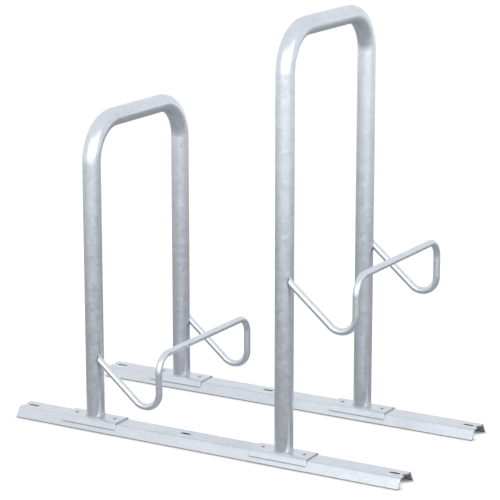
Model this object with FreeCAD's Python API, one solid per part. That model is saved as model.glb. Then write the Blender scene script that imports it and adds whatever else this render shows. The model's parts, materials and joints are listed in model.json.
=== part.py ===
import FreeCAD, Part

import math
import os

# A floor bike rack for two bicycles side by side, in hot-dip galvanised steel.
# Two folded floor rails run along X. A low and a high hoop of round tube stand
# across them, each on two saddle plates screwed to the rails. A bent round bar
# on each hoop holds a wheel in two V-shaped cradles, one above each rail.
# Millimetres, +Z up. The origin is on the floor, at the middle of the footprint.

# Driving dimensions: floor rails
RAIL_LENGTH = 1150.0
RAIL_HEIGHT = 27.0
RAIL_TOP_WIDTH = 56.0
RAIL_BASE_WIDTH = 88.0
SHEET_THICKNESS = 4.0
FOLD_INNER_RADIUS = 2.0
RAIL_FOOT_WIDTH = 1.0
RAIL_END_NOTCH_RADIUS = 9.0

# Anchor slots through the top of each rail, their long side along the rail
SLOT_LENGTH = 30.0
SLOT_WIDTH = 10.0
SLOT_FROM_RAIL_END = 30.0
MIDDLE_SLOT_FROM_LEFT_END = 512.0

# Hoops: sizes across the legs and heights over all, above the floor
HOOP_PITCH = 575.0
LOW_HOOP_FROM_LEFT_END = 230.0
HOOP_DEPTH = 435.0
LOW_HOOP_HEIGHT = 848.0
HIGH_HOOP_HEIGHT = 1130.0
TUBE_DIAMETER = 48.3
TUBE_WALL = 2.6
HOOP_BEND_RADIUS = 105.0

# Saddle plates under the legs
SADDLE_LENGTH = 165.0
SADDLE_THICKNESS = 4.0
SADDLE_SKIRT = 16.0
SCREW_FROM_LEG = 60.0

# Countersunk screws, washers and nuts
SCREW_DIAMETER = 12.0
SCREW_LENGTH = 25.0
SCREW_HEAD_DIAMETER = 24.0
SCREW_HEAD_RECESS = 0.3
SOCKET_WIDTH = 8.0
SOCKET_DEPTH = 4.5
SCREW_HOLE_CLEARANCE = 0.5
WASHER_DIAMETER = 24.0
WASHER_THICKNESS = 2.5
NUT_WIDTH = 18.0
NUT_HEIGHT = 10.0
THREAD_CLEARANCE = 0.05

# Wheel holders: a cradle hangs from each leg, and a crossbar joins the two
HOLDER_BAR_DIAMETER = 18.0
HOLDER_REACH = 208.0
CRADLE_OUTSIDE_LEG = 11.5
ARM_SLOPE_DEGREES = 40.1
ARM_ROOT_BELOW_CROSSBAR = 16.6
ARM_END_BITE = 1.0
CRADLE_BEND_RADIUS = 43.0
CROSSBAR_BEND_RADIUS = 45.0
LOW_CROSSBAR_HEIGHT = 226.5
HIGH_CROSSBAR_HEIGHT = 514.0

# Weld beads
LEG_WELD_SIZE = 2.5
ARM_WELD_SIZE = 2.0
ARM_WELD_REACH = 14.0

# Sizes that follow from the ones above
TUBE_RADIUS = TUBE_DIAMETER / 2
BAR_RADIUS = HOLDER_BAR_DIAMETER / 2
SADDLE_TOP = RAIL_HEIGHT + SADDLE_THICKNESS
RAIL_CEILING = RAIL_HEIGHT - SHEET_THICKNESS
RAIL_LEFT_END = -RAIL_LENGTH / 2
LOW_HOOP_X = RAIL_LEFT_END + LOW_HOOP_FROM_LEFT_END
HIGH_HOOP_X = LOW_HOOP_X + HOOP_PITCH
RAIL_SLOPE = math.atan2(RAIL_HEIGHT, (RAIL_BASE_WIDTH - RAIL_TOP_WIDTH) / 2)
FRONT_Y = -HOOP_DEPTH / 2
REAR_Y = HOOP_DEPTH / 2

UP = FreeCAD.Vector(0, 0, 1)


def point(x, y, z):
    return FreeCAD.Vector(x, y, z)


def bend_at(before, corner, after, radius):
    """The two ends and the middle of the arc that rounds a corner."""
    towards_before = (before - corner).normalize()
    towards_after = (after - corner).normalize()
    half_angle = towards_before.getAngle(towards_after) / 2
    tangent = radius / math.tan(half_angle)
    bisector = (towards_before + towards_after).normalize()
    to_arc = radius / math.sin(half_angle) - radius
    start = corner + towards_before * tangent
    middle = corner + bisector * to_arc
    end = corner + towards_after * tangent
    return start, middle, end


def rounded_path(points, radii):
    """An open wire of straight runs, with an arc at each point between its ends."""
    edges = []
    here = points[0]
    for i, radius in enumerate(radii, start=1):
        start, middle, end = bend_at(points[i - 1], points[i], points[i + 1], radius)
        edges.append(Part.makeLine(here, start))
        edges.append(Part.Arc(start, middle, end).toShape())
        here = end
    edges.append(Part.makeLine(here, points[-1]))
    return Part.Wire(edges)


def round_bar(path_points, radii, radius):
    """A round bar that follows a rounded path."""
    direction = path_points[1] - path_points[0]
    section = Part.Wire(Part.makeCircle(radius, path_points[0], direction))
    return rounded_path(path_points, radii).makePipeShell([section], True, False)


def folded_sheet(top_width, height, slope, skirt, thickness, inner_radius, length):
    """A sheet folded down along both sides, with its top face at this height.

    The skirt is measured on the inner face, from the inner corner of the fold.
    The sheet lies along X, centred on the origin.
    """
    corner_shift = thickness * math.tan(slope / 2)
    inner_half = top_width / 2 - corner_shift
    down = point(0, math.cos(slope), -math.sin(slope))
    outward = point(0, math.sin(slope), math.cos(slope))
    inner_corner = point(0, inner_half, height - thickness)
    outer_corner = point(0, top_width / 2, height)
    inner_end = inner_corner + down * skirt
    outer_end = inner_end + outward * thickness
    right = [outer_end, outer_corner, inner_corner, inner_end]
    outer = rounded_path(
        [right[0], right[1], mirrored(right[1]), mirrored(right[0])],
        [inner_radius + thickness] * 2)
    inner = rounded_path(
        [mirrored(right[3]), mirrored(right[2]), right[2], right[3]],
        [inner_radius] * 2)
    left_edge = Part.makeLine(mirrored(right[0]), mirrored(right[3]))
    right_edge = Part.makeLine(right[3], right[0])
    outline = Part.Wire(outer.Edges + [left_edge] + inner.Edges + [right_edge])
    sheet = Part.Face(outline).extrude(point(length, 0, 0))
    sheet.translate(point(-length / 2, 0, 0))
    return sheet


def mirrored(p):
    return point(p.x, -p.y, p.z)


def hexagon(width, height):
    """A hexagonal prism of this width across flats, from z = 0 up."""
    corner_radius = width / math.sqrt(3)
    corners = [
        point(corner_radius * math.cos(a), corner_radius * math.sin(a), 0)
        for a in (math.radians(60 * k) for k in range(6))
    ]
    return Part.Face(Part.makePolygon(corners + corners[:1])).extrude(UP * height)


def slot_cutter(x, y):
    """A tool that cuts one anchor slot through the top of a rail."""
    end_offset = (SLOT_LENGTH - SLOT_WIDTH) / 2
    height = RAIL_HEIGHT
    low = RAIL_CEILING / 2
    middle = Part.makeBox(2 * end_offset, SLOT_WIDTH, height, point(x - end_offset, y - SLOT_WIDTH / 2, low))
    ends = [
        Part.makeCylinder(SLOT_WIDTH / 2, height, point(x + side * end_offset, y, low))
        for side in (-1, 1)
    ]
    return middle.fuse(ends).removeSplitter()


def screw_hole_cutter(x, y):
    """A tool that cuts one countersunk hole through a saddle and its rail."""
    hole_radius = SCREW_DIAMETER / 2 + SCREW_HOLE_CLEARANCE
    mouth_radius = SCREW_HEAD_DIAMETER / 2 + SCREW_HEAD_RECESS
    depth = mouth_radius - hole_radius
    cone = Part.makeCone(hole_radius, mouth_radius, depth, point(x, y, SADDLE_TOP - depth))
    shaft = Part.makeCylinder(hole_radius, SADDLE_TOP, point(x, y, 0))
    return cone.fuse(shaft)


def screw_places(hoop_x):
    return [hoop_x - SCREW_FROM_LEG, hoop_x + SCREW_FROM_LEG]


def floor_rail(y):
    """A floor rail. Its skirts end square to the sheet, but for a narrow flat foot."""
    below_floor = RAIL_FOOT_WIDTH * math.sin(RAIL_SLOPE) * math.cos(RAIL_SLOPE)
    skirt = (RAIL_CEILING + below_floor) / math.sin(RAIL_SLOPE)
    rail = folded_sheet(
        RAIL_TOP_WIDTH, RAIL_HEIGHT, RAIL_SLOPE, skirt,
        SHEET_THICKNESS, FOLD_INNER_RADIUS, RAIL_LENGTH)
    below = Part.makeBox(
        RAIL_LENGTH, 2 * RAIL_BASE_WIDTH, RAIL_HEIGHT,
        point(RAIL_LEFT_END, -RAIL_BASE_WIDTH, -RAIL_HEIGHT))
    rail = rail.cut(below)
    rail.translate(point(0, y, 0))
    slots = [
        slot_cutter(RAIL_LEFT_END + SLOT_FROM_RAIL_END, y),
        slot_cutter(RAIL_LEFT_END + MIDDLE_SLOT_FROM_LEFT_END, y),
        slot_cutter(-RAIL_LEFT_END - SLOT_FROM_RAIL_END, y),
    ]
    notches = [
        Part.makeCylinder(RAIL_END_NOTCH_RADIUS, RAIL_HEIGHT, point(end, y, RAIL_CEILING / 2))
        for end in (RAIL_LEFT_END, -RAIL_LEFT_END)
    ]
    holes = [
        screw_hole_cutter(x, y)
        for hoop_x in (LOW_HOOP_X, HIGH_HOOP_X)
        for x in screw_places(hoop_x)
    ]
    return rail.cut(slots + notches + holes)


def saddle(hoop_x, y):
    """A plate folded over the rail, on which one leg of a hoop stands."""
    fold_shift = SADDLE_THICKNESS * math.tan(RAIL_SLOPE / 2)
    plate = folded_sheet(
        RAIL_TOP_WIDTH + 2 * fold_shift, SADDLE_TOP, RAIL_SLOPE, SADDLE_SKIRT,
        SADDLE_THICKNESS, FOLD_INNER_RADIUS + SHEET_THICKNESS, SADDLE_LENGTH)
    plate.translate(point(hoop_x, y, 0))
    return plate.cut([screw_hole_cutter(x, y) for x in screw_places(hoop_x)])


def hoop(x, height):
    """A tube bent twice, open at the ends that stand on the saddles."""
    top = height - TUBE_RADIUS
    path = [
        point(x, FRONT_Y, SADDLE_TOP),
        point(x, FRONT_Y, top),
        point(x, REAR_Y, top),
        point(x, REAR_Y, SADDLE_TOP),
    ]
    radii = [HOOP_BEND_RADIUS] * 2
    outside = round_bar(path, radii, TUBE_RADIUS)
    inside = round_bar(path, radii, TUBE_RADIUS - TUBE_WALL)
    return outside.cut(inside)


def leg_core(x, y):
    """The full round of a leg, to fit other pieces against its outside."""
    return Part.makeCylinder(TUBE_RADIUS, LOW_HOOP_HEIGHT - HOOP_BEND_RADIUS, point(x, y, 0))


def arm_root(hoop_x, y, crossbar_height):
    return point(hoop_x, y, crossbar_height - ARM_ROOT_BELOW_CROSSBAR)


def cradle_vertex(hoop_x, y, crossbar_height):
    """Where the straight arm would meet the upright, were the cradle not bent."""
    drop = HOLDER_REACH * math.tan(math.radians(ARM_SLOPE_DEGREES))
    return arm_root(hoop_x, y, crossbar_height) + point(HOLDER_REACH, 0, -drop)


def behind_arm_ends(hoop_x):
    """The space behind the arms' flat ends, which stand just inside the round of the legs."""
    length = 2 * TUBE_DIAMETER
    end = hoop_x + TUBE_RADIUS - ARM_END_BITE
    return Part.makeBox(length, 2 * HOOP_DEPTH, HIGH_HOOP_HEIGHT, point(end - length, -HOOP_DEPTH, 0))


def cradle_lines():
    """The depth of the front and of the rear cradle."""
    return FRONT_Y - CRADLE_OUTSIDE_LEG, REAR_Y + CRADLE_OUTSIDE_LEG


def wheel_holder(hoop_x, crossbar_height):
    """One bar: arm, cradle, upright, crossbar, upright, cradle and arm."""
    front, rear = cradle_lines()
    path = [
        arm_root(hoop_x, front, crossbar_height),
        cradle_vertex(hoop_x, front, crossbar_height),
        point(hoop_x + HOLDER_REACH, front, crossbar_height),
        point(hoop_x + HOLDER_REACH, rear, crossbar_height),
        cradle_vertex(hoop_x, rear, crossbar_height),
        arm_root(hoop_x, rear, crossbar_height),
    ]
    radii = [CRADLE_BEND_RADIUS, CROSSBAR_BEND_RADIUS, CROSSBAR_BEND_RADIUS, CRADLE_BEND_RADIUS]
    bar = round_bar(path, radii, BAR_RADIUS)
    return bar.cut([leg_core(hoop_x, FRONT_Y), leg_core(hoop_x, REAR_Y), behind_arm_ends(hoop_x)])


def leg_weld(hoop_x, y):
    """A ring of weld round the foot of a leg, following the saddle's folds."""
    skirt = SADDLE_THICKNESS
    ring = Part.makeCylinder(TUBE_RADIUS + LEG_WELD_SIZE, skirt, point(hoop_x, y, SADDLE_TOP - skirt))
    slope = Part.makeCone(
        TUBE_RADIUS + LEG_WELD_SIZE, TUBE_RADIUS, LEG_WELD_SIZE, point(hoop_x, y, SADDLE_TOP))
    return ring.fuse(slope).cut([leg_core(hoop_x, y), saddle(hoop_x, y)]).removeSplitter()


def arm_weld(hoop_x, leg_y, cradle_y, crossbar_height):
    """Weld between an arm's flat end and the leg, round the side where the two touch."""
    root = arm_root(hoop_x, cradle_y, crossbar_height)
    along = cradle_vertex(hoop_x, cradle_y, crossbar_height) - root
    stub_length = 3 * TUBE_DIAMETER
    leg_stub = Part.makeCylinder(
        TUBE_RADIUS, 2 * stub_length, point(hoop_x, leg_y, root.z - stub_length))
    arm_stub = Part.makeCylinder(BAR_RADIUS, stub_length, root, along)
    joint = leg_stub.fuse(arm_stub)
    seam = [edge for edge in joint.Edges if on_both(edge, leg_stub, arm_stub)]
    filled = joint.makeChamfer(ARM_WELD_SIZE, seam)
    reach = Part.makeBox(
        stub_length, 2 * ARM_WELD_REACH, 2 * stub_length,
        point(hoop_x, leg_y - ARM_WELD_REACH, root.z - stub_length))
    return filled.common(reach).cut([leg_stub, arm_stub.cut(behind_arm_ends(hoop_x))])


def on_both(edge, leg_stub, arm_stub):
    """Whether an edge lies where the arm enters the leg."""
    return all(
        leg_stub.Shells[0].distToShape(Part.Vertex(p))[0] < 1e-4
        and arm_stub.Shells[0].distToShape(Part.Vertex(p))[0] < 1e-4
        for p in edge.discretize(5))


def screw(x, y):
    """A countersunk screw with a hexagon socket, its thread left plain."""
    head_top = SADDLE_TOP - SCREW_HEAD_RECESS
    head_height = (SCREW_HEAD_DIAMETER - SCREW_DIAMETER) / 2
    head = Part.makeCone(
        SCREW_DIAMETER / 2, SCREW_HEAD_DIAMETER / 2, head_height, point(x, y, head_top - head_height))
    shank = Part.makeCylinder(
        SCREW_DIAMETER / 2, SCREW_LENGTH - head_height, point(x, y, head_top - SCREW_LENGTH))
    socket = hexagon(SOCKET_WIDTH, SOCKET_DEPTH)
    socket.translate(point(x, y, head_top - SOCKET_DEPTH))
    return head.fuse(shank).cut(socket).removeSplitter()


def washer(x, y):
    low = point(x, y, RAIL_CEILING - WASHER_THICKNESS)
    disc = Part.makeCylinder(WASHER_DIAMETER / 2, WASHER_THICKNESS, low)
    return disc.cut(Part.makeCylinder(SCREW_DIAMETER / 2 + SCREW_HOLE_CLEARANCE, WASHER_THICKNESS, low))


def nut(x, y):
    low = point(x, y, RAIL_CEILING - WASHER_THICKNESS - NUT_HEIGHT)
    body = hexagon(NUT_WIDTH, NUT_HEIGHT)
    body.translate(low)
    return body.cut(Part.makeCylinder(SCREW_DIAMETER / 2 + THREAD_CLEARANCE, NUT_HEIGHT, low))


def group(make_piece, hoop_x, y):
    """The same fastener at both screw places of one saddle."""
    return Part.makeCompound([make_piece(x, y) for x in screw_places(hoop_x)])


def sub_parts():
    """Every node of the rack, by name."""
    nodes = {
        "front_rail": floor_rail(FRONT_Y),
        "rear_rail": floor_rail(REAR_Y),
    }
    front_cradle, rear_cradle = cradle_lines()
    hoops = {
        "low": (LOW_HOOP_X, LOW_HOOP_HEIGHT, LOW_CROSSBAR_HEIGHT),
        "high": (HIGH_HOOP_X, HIGH_HOOP_HEIGHT, HIGH_CROSSBAR_HEIGHT),
    }
    sides = {
        "front": (FRONT_Y, front_cradle),
        "rear": (REAR_Y, rear_cradle),
    }
    for level, (hoop_x, height, crossbar_height) in hoops.items():
        nodes[f"{level}_hoop"] = hoop(hoop_x, height)
        nodes[f"{level}_wheel_holder"] = wheel_holder(hoop_x, crossbar_height)
        for side, (leg_y, cradle_y) in sides.items():
            foot = f"{level}_{side}"
            nodes[f"{foot}_saddle"] = saddle(hoop_x, leg_y)
            nodes[f"{foot}_leg_weld"] = leg_weld(hoop_x, leg_y)
            nodes[f"{foot}_arm_weld"] = arm_weld(hoop_x, leg_y, cradle_y, crossbar_height)
            nodes[f"{foot}_screws"] = group(screw, hoop_x, leg_y)
            nodes[f"{foot}_washers"] = group(washer, hoop_x, leg_y)
            nodes[f"{foot}_nuts"] = group(nut, hoop_x, leg_y)
    return nodes


os.makedirs("parts", exist_ok=True)
for name, shape in sub_parts().items():
    shape.exportStep(f"parts/{name}.step")
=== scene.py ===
"""The looks of a galvanised floor rack for two bicycles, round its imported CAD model."""

import json
import math

import bpy
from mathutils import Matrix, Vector

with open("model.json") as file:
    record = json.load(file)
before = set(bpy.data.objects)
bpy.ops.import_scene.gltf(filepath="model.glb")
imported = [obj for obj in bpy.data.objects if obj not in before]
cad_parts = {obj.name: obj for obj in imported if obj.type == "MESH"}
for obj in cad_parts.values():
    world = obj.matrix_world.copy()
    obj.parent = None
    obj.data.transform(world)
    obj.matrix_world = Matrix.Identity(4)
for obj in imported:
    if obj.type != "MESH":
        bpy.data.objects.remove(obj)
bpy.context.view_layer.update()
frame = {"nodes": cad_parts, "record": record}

# --- camera: fitted to the photograph's lines -------------------------------------------------

CAMERA_PLACE = (2.8668, -4.9425, 1.8965)
CAMERA_YAW = 30.075
CAMERA_PITCH_DOWN = 13.9085
CAMERA_LENS_MM = 161.215
SENSOR_MM = 36.0
CLIP_START = 0.1
CLIP_END = 200.0


def make_camera():
    data = bpy.data.cameras.new("camera")
    data.sensor_width = SENSOR_MM
    data.lens = CAMERA_LENS_MM
    data.clip_start = CLIP_START
    data.clip_end = CLIP_END
    camera = bpy.data.objects.new("camera", data)
    camera.location = CAMERA_PLACE
    camera.rotation_euler = (
        math.radians(90.0 - CAMERA_PITCH_DOWN),
        0.0,
        math.radians(CAMERA_YAW),
    )
    bpy.context.scene.collection.objects.link(camera)
    bpy.context.scene.camera = camera


# --- small helpers for node trees -------------------------------------------------------------

# the mix node keeps its first input, second input and result apart for each kind of value
MIX_SOCKETS = {"FLOAT": (2, 3, 0), "RGBA": (6, 7, 2)}
HALF = (0.5, 0.5, 0.5)


def add(tree, kind, **settings):
    """Adds a shader node of the kind and sets its properties."""
    node = tree.nodes.new("ShaderNode" + kind)
    for name, value in settings.items():
        setattr(node, name, value)
    return node


def feed(tree, socket, value):
    """Sets a socket to a value, or links it to another node's output."""
    if isinstance(value, bpy.types.NodeSocket):
        tree.links.new(value, socket)
    else:
        socket.default_value = value


def maths(tree, operation, a, b=0.0, c=0.0, clamp=False):
    """One step of arithmetic on numbers."""
    node = add(tree, "Math", operation=operation, use_clamp=clamp)
    for socket, value in zip(node.inputs, (a, b, c)):
        feed(tree, socket, value)
    return node.outputs[0]


def vector_maths(tree, operation, a, b=(0.0, 0.0, 0.0)):
    """One step of arithmetic on vectors."""
    node = add(tree, "VectorMath", operation=operation)
    feed(tree, node.inputs[0], a)
    feed(tree, node.inputs[1], b)
    name = "Value" if operation in ("DISTANCE", "DOT_PRODUCT") else "Vector"
    return node.outputs[name]


def random_vector(tree, colour, size):
    """A random colour as a vector whose three parts lie within half of the size of 0."""
    node = add(tree, "VectorMath", operation="SCALE")
    feed(tree, node.inputs[0], vector_maths(tree, "SUBTRACT", colour, HALF))
    feed(tree, node.inputs["Scale"], size)
    return node.outputs["Vector"]


def noise(tree, vector, scale, detail, roughness=0.5):
    node = add(tree, "TexNoise")
    feed(tree, node.inputs["Vector"], vector)
    node.inputs["Scale"].default_value = scale
    node.inputs["Detail"].default_value = detail
    node.inputs["Roughness"].default_value = roughness
    return node


def span(tree, value, low, high, to_low=0.0, to_high=1.0, smooth=False):
    """Carries a value from between low and high to between to_low and to_high."""
    node = add(tree, "MapRange")
    node.interpolation_type = "SMOOTHSTEP" if smooth else "LINEAR"
    for name, each in (
        ("Value", value),
        ("From Min", low),
        ("From Max", high),
        ("To Min", to_low),
        ("To Max", to_high),
    ):
        feed(tree, node.inputs[name], each)
    return node.outputs["Result"]


def blend(tree, kind, factor, first, second):
    """The first value or colour at factor 0, and the second at 1."""
    first_socket, second_socket, result_socket = MIX_SOCKETS[kind]
    node = add(tree, "Mix", data_type=kind)
    feed(tree, node.inputs[0], factor)
    feed(tree, node.inputs[first_socket], first)
    feed(tree, node.inputs[second_socket], second)
    return node.outputs[result_socket]


def bump(tree, height, strength, distance, normal):
    node = add(tree, "Bump")
    node.inputs["Strength"].default_value = strength
    node.inputs["Distance"].default_value = distance
    feed(tree, node.inputs["Height"], height)
    feed(tree, node.inputs["Normal"], normal)
    return node.outputs["Normal"]


def openness(tree, reach, covered, clear, least):
    """1 in the open, and down to least where pieces within reach cover a place."""
    shelter = add(tree, "AmbientOcclusion", samples=8)
    shelter.inputs["Distance"].default_value = reach
    return span(tree, shelter.outputs["AO"], covered, clear, least, 1.0)


def new_material(name):
    material = bpy.data.materials.new(name)
    material.use_nodes = True
    tree = material.node_tree
    tree.nodes.clear()
    return material, tree


def show(tree, shader, output_kind="OutputMaterial"):
    """Makes a shader's output the one that is rendered."""
    output = add(tree, output_kind)
    tree.links.new(shader, output.inputs["Surface"])


# --- world ------------------------------------------------------------------------------------

WHITE = (1.0, 1.0, 1.0, 1.0)
WORLD_TINT = (0.96, 0.98, 1.0, 1.0)
WORLD_LEVEL = 0.45


def seen_ray(tree):
    """1 for the rays that show the background itself: from the camera, or off metal or glass."""
    path = add(tree, "LightPath")
    shown = maths(
        tree, "MAXIMUM", path.outputs["Is Camera Ray"], path.outputs["Is Glossy Ray"]
    )
    return maths(tree, "MAXIMUM", shown, path.outputs["Is Transmission Ray"])


def background(tree, colour, level):
    node = add(tree, "Background")
    node.inputs["Color"].default_value = colour
    node.inputs["Strength"].default_value = level
    return node.outputs[0]


def make_world():
    """A pale studio that lights the rack softly, and is white where it is seen."""
    world = bpy.data.worlds.new("studio")
    world.use_nodes = True
    tree = world.node_tree
    tree.nodes.clear()
    mix = add(tree, "MixShader")
    tree.links.new(seen_ray(tree), mix.inputs[0])
    tree.links.new(background(tree, WORLD_TINT, WORLD_LEVEL), mix.inputs[1])
    tree.links.new(background(tree, WHITE, 1.0), mix.inputs[2])
    show(tree, mix.outputs[0], "OutputWorld")
    world.cycles.sampling_method = "NONE"
    bpy.context.scene.world = world


# --- floor ------------------------------------------------------------------------------------

FLOOR_HALF = 60.0
FLOOR_DROP = 0.0005
# painted shade: round this spot the floor's glow that the metal reflects is dark, and it fades
# to pale further out
FLOOR_DARK_SPOT = (-0.2, 0.3, 0.0)
FLOOR_GLOW_NEAR = 0.205
FLOOR_GLOW_FAR = 0.95
FLOOR_FADE = (1.4, 6.8)
FLOOR_WHITE_GLOW = 0.87
FLOOR_MATT_GREY = (0.35, 0.35, 0.35, 1.0)
# under the rails the pale studio is hidden from the floor, and a fine shadow lines them
UNDER_RAILS = {"reach": 0.080, "covered": 0.0, "clear": 0.45, "least": 0.13}
BESIDE_RAILS = {"reach": 0.020, "covered": 0.70, "clear": 0.98, "least": 0.40}


def floor_glow(tree):
    """How brightly the floor glows: white to the camera, and to the metal a sweep that is dark
    round the rack and pale further out, a painted shade pool. A painted shadow under and beside
    the rails darkens both."""
    camera_ray = add(tree, "LightPath").outputs["Is Camera Ray"]
    place = add(tree, "NewGeometry").outputs["Position"]
    far = vector_maths(tree, "DISTANCE", place, FLOOR_DARK_SPOT)
    sweep = span(tree, far, *FLOOR_FADE, FLOOR_GLOW_NEAR, FLOOR_GLOW_FAR, smooth=True)
    strength = blend(tree, "FLOAT", camera_ray, sweep, FLOOR_WHITE_GLOW)
    # painted shadow: the floor's glow is darkened under and beside the rails
    under = openness(tree, **UNDER_RAILS)
    beside = openness(tree, **BESIDE_RAILS)
    contact = maths(tree, "MULTIPLY", under, beside)
    return maths(tree, "MULTIPLY", strength, contact)


def floor_material():
    """A glow, and under it a matt grey that keeps the rack's shadow."""
    material, tree = new_material("studio_floor")
    glow = add(tree, "Emission")
    glow.inputs["Color"].default_value = WHITE
    feed(tree, glow.inputs["Strength"], floor_glow(tree))
    matt = add(tree, "BsdfDiffuse")
    matt.inputs["Color"].default_value = FLOOR_MATT_GREY
    both = add(tree, "AddShader")
    tree.links.new(glow.outputs[0], both.inputs[0])
    tree.links.new(matt.outputs[0], both.inputs[1])
    show(tree, both.outputs[0])
    material.cycles.emission_sampling = "NONE"
    return material


def make_floor():
    """One large square, a hair below the rack's feet so that no two faces share a plane."""
    mesh = bpy.data.meshes.new("studio_floor")
    side = FLOOR_HALF
    corners = [(-side, -side, 0.0), (side, -side, 0.0), (side, side, 0.0), (-side, side, 0.0)]
    mesh.from_pydata(corners, [], [(0, 1, 2, 3)])
    floor = bpy.data.objects.new("studio_floor", mesh)
    floor.location.z = -FLOOR_DROP
    mesh.materials.append(floor_material())
    bpy.context.scene.collection.objects.link(floor)


# --- lamps: a row of three soft boxes side by side --------------------------------------------

LAMP_TARGET = Vector((0.0, 0.0, 0.8))
LAMP_AZIMUTHS = {"front_box_left": -2.2, "front_box": 32.5, "front_box_right": 67.2}
LAMP_ELEVATION = 19.0
LAMP_DISTANCE = 8.5
LAMP_SIDE = 5.3
LAMP_POWER = 135.0


def soft_box(name, azimuth):
    """A square lamp that looks at the rack. Azimuth 0 is in front of it, on -Y, and 90 on +X."""
    data = bpy.data.lights.new(name, "AREA")
    data.shape = "SQUARE"
    data.size = LAMP_SIDE
    data.energy = LAMP_POWER
    lamp = bpy.data.objects.new(name, data)
    a = math.radians(azimuth)
    e = math.radians(LAMP_ELEVATION)
    back = Vector((math.sin(a) * math.cos(e), -math.cos(a) * math.cos(e), math.sin(e)))
    lamp.location = LAMP_TARGET + back * LAMP_DISTANCE
    lamp.rotation_mode = "QUATERNION"
    lamp.rotation_quaternion = back.to_track_quat("Z", "Y")
    lamp.visible_camera = False
    bpy.context.scene.collection.objects.link(lamp)


def make_lamps():
    for name, azimuth in LAMP_AZIMUTHS.items():
        soft_box(name, azimuth)


# --- zinc: crystals, clouds, grain, run marks, edges paled by wear and painted highlight, painted corner shade ---

# the borders between crystals wave over this many crystals, and by this many
BORDER_WAVE = 1.6
BORDER_SWAY = 0.9
BORDER_DETAIL = 2.0

# features per metre, their detail and roughness, and the range of the noise that is used
CLOUD_NOISE = (14.0, 4.0, 0.6)
CLOUD_RANGE = (0.32, 0.68)
GRAIN_NOISE = (900.0, 3.0, 0.6)
RUN_STRETCH = (95.0, 95.0, 5.0)
RUN_NOISE = (1.0, 3.0)
RUN_RANGE = (0.35, 0.65)

# what each feature gives to the shade, and grain to the height
CRYSTAL_SHADE = 0.45
CLOUD_SHADE = 0.45
GRAIN_SHADE = 0.10
GRAIN_HEIGHT = 0.05
RELIEF_DEPTH = 0.00035

# the edges pale, partly as wear and partly as a painted highlight, from the first cosine of the
# edge's turn, and fully at the second
EDGE_PALING_TURN = (0.995, 0.90)
EDGE_PALING_MOST = 0.55
WEAR_AND_HIGHLIGHT_GREY = (0.80, 0.82, 0.85, 1.0)

# painted shade: within reach of other pieces, in corners and along steps, the zinc's colour
# darkens to this grey
CORNER_SHADE_FALLOFF = {"reach": 0.005, "covered": 0.45, "clear": 0.95, "least": 0.0}
CORNER_SHADE_GREY = (0.27, 0.285, 0.31, 1.0)


def crystal_colours(tree, place, size):
    """A random colour for each crystal, with wavy borders between them."""
    wave = noise(tree, place, 1.0 / (size * BORDER_WAVE), BORDER_DETAIL).outputs["Color"]
    sway = random_vector(tree, wave, size * BORDER_SWAY)
    crystals = add(tree, "TexVoronoi", feature="F1")
    feed(tree, crystals.inputs["Vector"], vector_maths(tree, "ADD", place, sway))
    crystals.inputs["Scale"].default_value = 1.0 / size
    return crystals.outputs["Color"]


def zinc_shade(tree, place, crystal, clouds, grain, run_marks):
    """0 for the darkest zinc and 1 for the lightest."""
    shade = maths(tree, "MULTIPLY", crystal, CRYSTAL_SHADE)
    shade = maths(tree, "MULTIPLY_ADD", clouds, CLOUD_SHADE, shade)
    shade = maths(tree, "MULTIPLY_ADD", grain, GRAIN_SHADE, shade)
    if run_marks:
        stretched = vector_maths(tree, "MULTIPLY", place, RUN_STRETCH)
        runs = noise(tree, stretched, *RUN_NOISE).outputs["Fac"]
        runs = span(tree, runs, *RUN_RANGE, -run_marks, run_marks)
        shade = maths(tree, "ADD", shade, runs, clamp=True)
    return shade


def zinc_roughness(tree, crystal, clouds, grain, middle, spread):
    """Roughness that differs by up to the spread between crystals, clouds and grain."""
    rough = maths(tree, "MULTIPLY_ADD", crystal, spread, middle - spread * 0.5)
    rough = maths(tree, "MULTIPLY_ADD", clouds, -0.5 * spread, rough)
    return maths(tree, "MULTIPLY_ADD", grain, 0.5 * spread, rough, clamp=True)


def worn_and_highlit_edges(tree, colour, flat, radius):
    """Rounds the edges to the eye and pales them. Returns the colour and the normal."""
    rounded = add(tree, "Bevel", samples=4)
    rounded.inputs["Radius"].default_value = radius
    normal = rounded.outputs[0]
    same = vector_maths(tree, "DOT_PRODUCT", normal, flat)
    # the edges pale partly as wear and partly as a painted highlight
    wear_and_highlight = span(tree, same, *EDGE_PALING_TURN, 0.0, EDGE_PALING_MOST)
    return blend(tree, "RGBA", wear_and_highlight, colour, WEAR_AND_HIGHLIGHT_GREY), normal


def tilted(tree, normal, crystal, tilt):
    """Each crystal reflects a slightly different way."""
    lean = random_vector(tree, crystal, tilt)
    return vector_maths(tree, "NORMALIZE", vector_maths(tree, "ADD", normal, lean))


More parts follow.
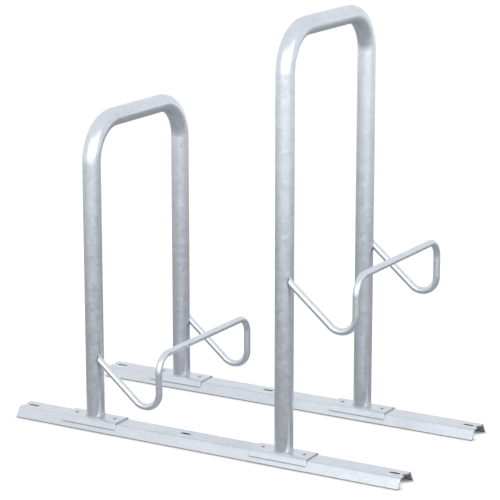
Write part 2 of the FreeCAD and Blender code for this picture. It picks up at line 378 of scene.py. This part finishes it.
def zinc(
    name,
    dark,
    light,
    spangle,
    roughness,
    spread=0.10,
    relief=0.35,
    tilt=0.035,
    run_marks=0.0,
    edge=None,
    corners=True,
):
    """Hot-dip galvanised steel. Crystals of about the spangle's size each take their own shade,
    gloss and tilt, under soft clouds, fine grain and faint run marks. With an edge, its radius,
    edges are paled, partly as wear and partly as a painted highlight. With corners, a painted
    shade darkens the colour in corners and along steps."""
    material, tree = new_material(name)
    place = add(tree, "TexCoord").outputs["Object"]
    crystal = crystal_colours(tree, place, spangle)
    parts = add(tree, "SeparateColor")
    tree.links.new(crystal, parts.inputs[0])
    clouds = noise(tree, place, *CLOUD_NOISE).outputs["Fac"]
    clouds = span(tree, clouds, *CLOUD_RANGE)
    grain = noise(tree, place, *GRAIN_NOISE).outputs["Fac"]

    shade = zinc_shade(tree, place, parts.outputs[0], clouds, grain, run_marks)
    colour = blend(tree, "RGBA", shade, dark, light)
    rough = zinc_roughness(tree, parts.outputs[1], clouds, grain, roughness, spread)
    normal = add(tree, "NewGeometry").outputs["Normal"]
    if edge is not None:
        colour, normal = worn_and_highlit_edges(tree, colour, normal, edge)
    # painted shade in corners and along steps
    if corners:
        unshaded = openness(tree, **CORNER_SHADE_FALLOFF)
        colour = blend(tree, "RGBA", unshaded, CORNER_SHADE_GREY, colour)
    normal = tilted(tree, normal, crystal, tilt)
    height = maths(tree, "MULTIPLY_ADD", grain, GRAIN_HEIGHT, clouds)
    normal = bump(tree, height, relief, RELIEF_DEPTH, normal)

    surface = add(tree, "BsdfPrincipled")
    surface.inputs["Metallic"].default_value = 1.0
    feed(tree, surface.inputs["Base Color"], colour)
    feed(tree, surface.inputs["Roughness"], rough)
    feed(tree, surface.inputs["Normal"], normal)
    show(tree, surface.outputs[0])
    return material


# --- finishes of the nodes --------------------------------------------------------------------

SHEET = {
    "dark": (0.598, 0.633, 0.689, 1.0),
    "light": (0.667, 0.704, 0.761, 1.0),
    "spangle": 0.009,
    "roughness": 0.30,
    "spread": 0.05,
    "relief": 0.25,
    "tilt": 0.009,
    "edge": 0.0012,
}

FINISHES = {
    "galvanised_tube": {
        "dark": (0.590, 0.629, 0.693, 1.0),
        "light": (0.706, 0.750, 0.815, 1.0),
        "spangle": 0.011,
        "roughness": 0.33,
        "tilt": 0.018,
        "run_marks": 0.07,
    },
    "galvanised_bar": {
        "dark": (0.60, 0.64, 0.70, 1.0),
        "light": (0.72, 0.76, 0.82, 1.0),
        "spangle": 0.007,
        "roughness": 0.34,
        "tilt": 0.02,
    },
    "galvanised_sheet": SHEET,
    # the saddles go without the painted corner shade
    "saddle_sheet": {**SHEET, "corners": False},
    "galvanised_weld": {
        "dark": (0.42, 0.45, 0.50, 1.0),
        "light": (0.62, 0.66, 0.71, 1.0),
        "spangle": 0.003,
        "roughness": 0.42,
        "relief": 0.8,
    },
    "zinc_fasteners": {
        "dark": (0.57, 0.605, 0.66, 1.0),
        "light": (0.65, 0.69, 0.745, 1.0),
        "spangle": 0.004,
        "roughness": 0.30,
        "relief": 0.2,
        "edge": 0.0004,
    },
}


def finish_nodes():
    """Gives each CAD node the finish of its material slot, and the saddles one of their own."""
    made = {name: zinc(name, **look) for name, look in FINISHES.items()}
    slot_of = {entry["node"]: entry["material_slot"] for entry in frame["record"]["subparts"]}
    for name, node in frame["nodes"].items():
        finish = "saddle_sheet" if name.endswith("_saddle") else slot_of[name]
        node.data.materials.clear()
        node.data.materials.append(made[finish])


make_camera()
make_world()
make_floor()
make_lamps()
finish_nodes()

bpy.context.scene.view_settings.view_transform = "Standard"
